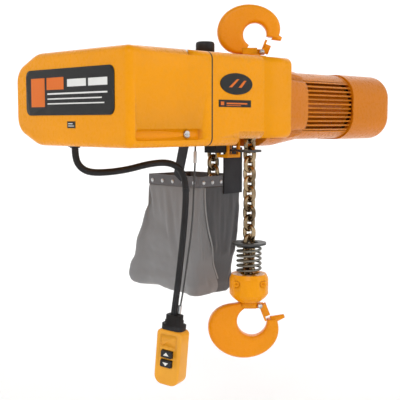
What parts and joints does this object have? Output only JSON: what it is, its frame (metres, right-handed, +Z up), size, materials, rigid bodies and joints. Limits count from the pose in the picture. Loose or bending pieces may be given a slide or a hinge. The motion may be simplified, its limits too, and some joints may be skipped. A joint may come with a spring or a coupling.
{
  "type": "electric chain hoist",
  "caption": "Hook-suspended electric chain hoist with a finned motor, load chain, sprung hook block, swivel hooks with latches, chain bag and a push-button pendant.",
  "frame": {"origin": "seat of the top hook, on the line of the load chain", "axes": "+X along the hoist from the control box to the fan cover, -Y the badge side, +Z up"},
  "size_m": [0.8172, 0.3891, 0.7049],
  "materials": {
    "yellow_paint": "semi-gloss cast and pressed surface",
    "latch_paint": "semi-gloss",
    "black_plastic": "satin",
    "black_rubber": "satin",
    "zinc_steel": "zinc plated",
    "dark_steel": "oiled, dark",
    "gear_steel": "ground and oiled",
    "chain_steel": "plated, polished",
    "winding": "varnished laminations and windings",
    "grey_canvas": "woven",
    "grey_band": "matt",
    "fan_plastic": "matt"
  },
  "bodies": {
    "hoist_body": {"control_cover": "yellow_paint", "cover_gasket": "black_rubber", "cover_screws": "zinc_steel", "control_plate": "zinc_steel", "transformer": "winding", "contactors": "black_plastic", "cable_gland": "black_plastic", "oil_cap": "black_plastic", "gear_case": "yellow_paint", "main_frame": "yellow_paint", "case_bolts": "zinc_steel", "motor_bell": "yellow_paint", "motor_housing": "yellow_paint", "fan_cover": "yellow_paint", "stator": "winding", "shaft_bearings": "zinc_steel", "brake_coil": "winding", "chain_guide": "yellow_paint", "limit_switch": "black_plastic", "bag_bracket": "grey_band", "bag_strap": "grey_band", "chain_bag": "grey_canvas", "bag_rim": "grey_band", "strain_wire": "zinc_steel", "pendant_cord": "black_rubber", "handset_boot": "black_rubber", "handset_front": "yellow_paint", "handset_back": "yellow_paint", "handset_switches": "black_plastic", "nameplates": "black_plastic"},
    "rotor": {"motor_shaft": "gear_steel", "rotor_core": "winding", "brake_disc": "dark_steel", "cooling_fan": "fan_plastic"},
    "lay_shaft": {"lay_gear": "gear_steel"},
    "sheave": {"load_gear": "gear_steel", "load_sheave": "gear_steel"},
    "top_hook": {"top_hook": "yellow_paint", "top_hook_nut": "dark_steel", "top_latch_pin": "zinc_steel"},
    "top_latch": {"top_latch": "latch_paint"},
    "hook_block": {"block_front": "yellow_paint", "block_rear": "yellow_paint", "block_bolts": "zinc_steel", "chain_pin": "dark_steel", "load_chain": "chain_steel", "hook_bearing": "zinc_steel", "cushion_spring": "dark_steel"},
    "spring_plate": {"spring_plate": "dark_steel"},
    "bottom_hook": {"bottom_hook": "yellow_paint", "bottom_hook_nut": "dark_steel", "bottom_latch_pin": "zinc_steel"},
    "bottom_latch": {"bottom_latch": "latch_paint"},
    "slack_chain": {"slack_chain": "chain_steel"},
    "limit_lever": {"limit_lever": "dark_steel"},
    "button_up": {"button_up": "black_plastic"},
    "button_down": {"button_down": "black_plastic"}
  },
  "joints": [
    {"name": "lift", "type": "slide", "parent": "hoist_body", "child": "hook_block", "axis": [0, 0, 1], "range_m": [-0.05, 0.04]},
    {"name": "slack_run", "type": "slide", "parent": "hoist_body", "child": "slack_chain", "axis": [0, 0, 1], "range_m": [-0.0405, 0.0505]},
    {"name": "sheave_turn", "type": "hinge", "parent": "hoist_body", "child": "sheave", "pos_m": [0, 0.0476, -0.15], "axis": [1, 0, 0], "range_deg": [-49.2, 61.5]},
    {"name": "lay_turn", "type": "hinge", "parent": "hoist_body", "child": "lay_shaft", "pos_m": [0, 0.0926, -0.15], "axis": [1, 0, 0], "range_deg": [-136, 108.8]},
    {"name": "rotor_turn", "type": "hinge", "parent": "hoist_body", "child": "rotor", "pos_m": [0, 0.0476, -0.15], "axis": [1, 0, 0], "range_deg": [-435.5, 542]},
    {"name": "top_swivel", "type": "hinge", "parent": "hoist_body", "child": "top_hook", "pos_m": [0, 0, -0.0605], "axis": [0, 0, 1], "continuous": true},
    {"name": "top_latch_hinge", "type": "hinge", "parent": "top_hook", "child": "top_latch", "pos_m": [0.01485, -0.01485, -0.053], "axis": [-0.7071, -0.7071, 0], "range_deg": [0, 38], "stiffness_Nm_per_rad": 0.3, "springref_deg": -28.65},
    {"name": "plate_slide", "type": "slide", "parent": "hook_block", "child": "spring_plate", "axis": [0, 0, -1], "range_m": [0, 0.02], "stiffness_N_per_m": 4000, "springref_m": -0.005, "deforming": ["cushion_spring"]},
    {"name": "hook_swivel", "type": "hinge", "parent": "hook_block", "child": "bottom_hook", "pos_m": [0, 0, -0.5235], "axis": [0, 0, 1], "continuous": true},
    {"name": "bottom_latch_hinge", "type": "hinge", "parent": "bottom_hook", "child": "bottom_latch", "pos_m": [0.01485, -0.01485, -0.531], "axis": [0.7071, 0.7071, 0], "range_deg": [0, 38], "stiffness_Nm_per_rad": 0.3, "springref_deg": -28.65},
    {"name": "limit_trip", "type": "hinge", "parent": "hoist_body", "child": "limit_lever", "pos_m": [0, 0.056, -0.236], "axis": [-1, 0, 0], "range_deg": [0, 8], "stiffness_Nm_per_rad": 1, "springref_deg": -5.73},
    {"name": "up_press", "type": "slide", "parent": "hoist_body", "child": "button_up", "axis": [0.9563, 0.2924, 0], "range_m": [0, 0.004], "stiffness_N_per_m": 400, "springref_m": -0.002},
    {"name": "down_press", "type": "slide", "parent": "hoist_body", "child": "button_down", "axis": [0.9563, 0.2924, 0], "range_m": [0, 0.004], "stiffness_N_per_m": 400, "springref_m": -0.002}
  ],
  "couplings": [
    {"joint": "slack_run", "follows": "lift", "ratio": -1},
    {"joint": "sheave_turn", "follows": "lift", "rad_per_m": -21.227},
    {"joint": "lay_turn", "follows": "lift", "rad_per_m": 47.003},
    {"joint": "rotor_turn", "follows": "lift", "rad_per_m": -188.01}
  ]
}
